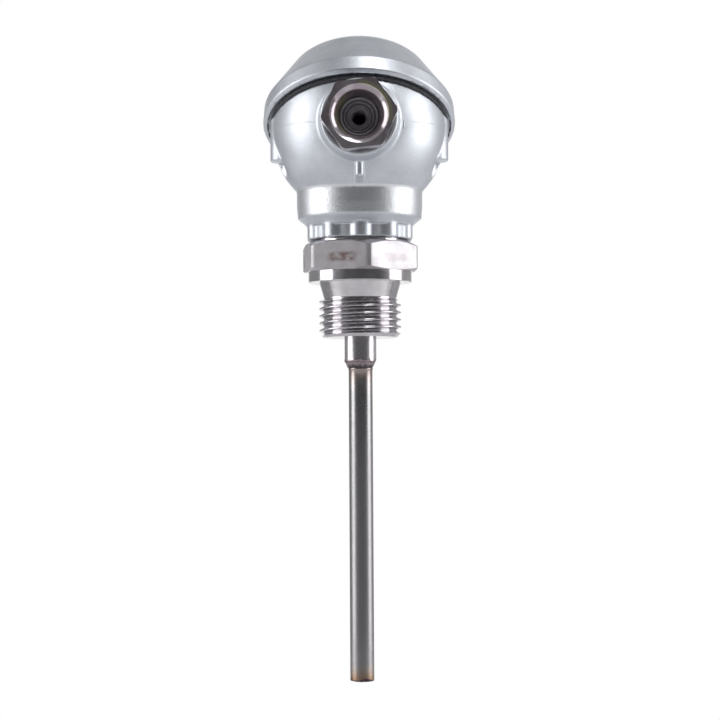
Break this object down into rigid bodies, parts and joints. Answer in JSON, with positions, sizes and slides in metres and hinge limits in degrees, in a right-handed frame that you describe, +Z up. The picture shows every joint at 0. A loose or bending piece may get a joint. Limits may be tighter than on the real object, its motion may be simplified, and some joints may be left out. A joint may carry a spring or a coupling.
{
  "type": "rtd probe with head",
  "caption": "Screw-in resistance thermometer: slim steel stem, hexagon process fitting and a cast connection head with an inclined screwed lid and a cable gland.",
  "frame": {"origin": "on the probe's axis, in the plane of the collar's sealing face", "axes": "+Z up the probe's axis into the head, -Y out of the cable gland, +X to the right as seen facing the gland"},
  "size_m": [0.0484, 0.056, 0.1616],
  "materials": {
    "head_casting": "die-cast aluminium with a satin silver coat",
    "lid_casting": "die-cast aluminium with a satin silver coat",
    "black_rubber": "black moulded rubber, matt",
    "seal_rubber": "dark grey moulded rubber, matt",
    "zinc_steel": "zinc-plated steel",
    "plated_brass": "nickel-plated brass, bright with dark tones",
    "turned_steel": "turned stainless steel, fine turning marks",
    "drawn_steel": "drawn stainless tube, satin, straw tint near the welds",
    "fibre_seal": "red vulcanised fibre",
    "alumina": "unglazed ceramic",
    "resin": "hard brown resin",
    "red_wire": "insulated lead, red",
    "white_wire": "insulated lead, white",
    "steatite": "unglazed ceramic, pressed",
    "terminal_brass": "machined brass"
  },
  "bodies": {
    "head": {"head_body": "head_casting", "process_fitting": "turned_steel", "neck_seal": "fibre_seal", "support_tube": "turned_steel", "sheath_tube": "drawn_steel", "tip_plug": "drawn_steel", "sensor_element": "alumina", "insulator_rod": "alumina", "potting_plug": "resin", "lead_wire_1": "red_wire", "lead_wire_2": "red_wire", "lead_wire_3": "white_wire", "lead_wire_4": "white_wire", "gland_seal": "seal_rubber", "terminal_base": "steatite", "terminal_1": "terminal_brass", "terminal_2": "terminal_brass", "terminal_3": "terminal_brass", "terminal_4": "terminal_brass", "block_screw_front": "zinc_steel", "block_screw_rear": "zinc_steel", "earth_washer": "zinc_steel"},
    "lid": {"lid": "lid_casting", "lid_gasket": "black_rubber"},
    "lid_screw_left": {"lid_screw_left": "zinc_steel"},
    "lid_screw_right": {"lid_screw_right": "zinc_steel"},
    "gland_washer": {"gland_washer": "zinc_steel"},
    "gland_nut": {"gland_nut": "plated_brass"},
    "earth_screw": {"earth_screw": "zinc_steel"},
    "terminal_screw_1": {"terminal_screw_1": "zinc_steel"},
    "terminal_screw_2": {"terminal_screw_2": "zinc_steel"},
    "terminal_screw_3": {"terminal_screw_3": "zinc_steel"},
    "terminal_screw_4": {"terminal_screw_4": "zinc_steel"}
  },
  "joints": [
    {"name": "lid_lift", "type": "slide", "parent": "head", "child": "lid", "axis": [0, 0.454, 0.891], "range_m": [0, 0.03]},
    {"name": "lid_screw_left_turn", "type": "hinge", "parent": "lid", "child": "lid_screw_left", "pos_m": [-0.0194, 0.00209, 0.0432], "axis": [0, 0.454, 0.891], "continuous": true},
    {"name": "lid_screw_right_turn", "type": "hinge", "parent": "lid", "child": "lid_screw_right", "pos_m": [0.0194, 0.00209, 0.0432], "axis": [0, 0.454, 0.891], "continuous": true},
    {"name": "gland_washer_slide", "type": "slide", "parent": "head", "child": "gland_washer", "axis": [0, -1, 0], "range_m": [0, 0.0053]},
    {"name": "gland_nut_turn", "type": "hinge", "parent": "gland_washer", "child": "gland_nut", "pos_m": [0, -0.0325, 0.0384], "axis": [0, -1, 0], "range_deg": [0, 1260]},
    {"name": "terminal_screw_1_turn", "type": "hinge", "parent": "head", "child": "terminal_screw_1", "pos_m": [-0.007, -0.0039, 0.036], "axis": [0, 0, 1], "continuous": true},
    {"name": "terminal_screw_2_turn", "type": "hinge", "parent": "head", "child": "terminal_screw_2", "pos_m": [0.007, -0.0039, 0.036], "axis": [0, 0, 1], "continuous": true},
    {"name": "terminal_screw_3_turn", "type": "hinge", "parent": "head", "child": "terminal_screw_3", "pos_m": [-0.007, 0.0039, 0.036], "axis": [0, 0, 1], "continuous": true},
    {"name": "terminal_screw_4_turn", "type": "hinge", "parent": "head", "child": "terminal_screw_4", "pos_m": [0.007, 0.0039, 0.036], "axis": [0, 0, 1], "continuous": true},
    {"name": "earth_screw_turn", "type": "hinge", "parent": "head", "child": "earth_screw", "pos_m": [-0.0137, 0.0074, 0.0311], "axis": [0, 0, 1], "continuous": true}
  ],
  "couplings": [
    {"joint": "gland_washer_slide", "follows": "gland_nut_turn", "m_per_rad": 0.00023873}
  ]
}
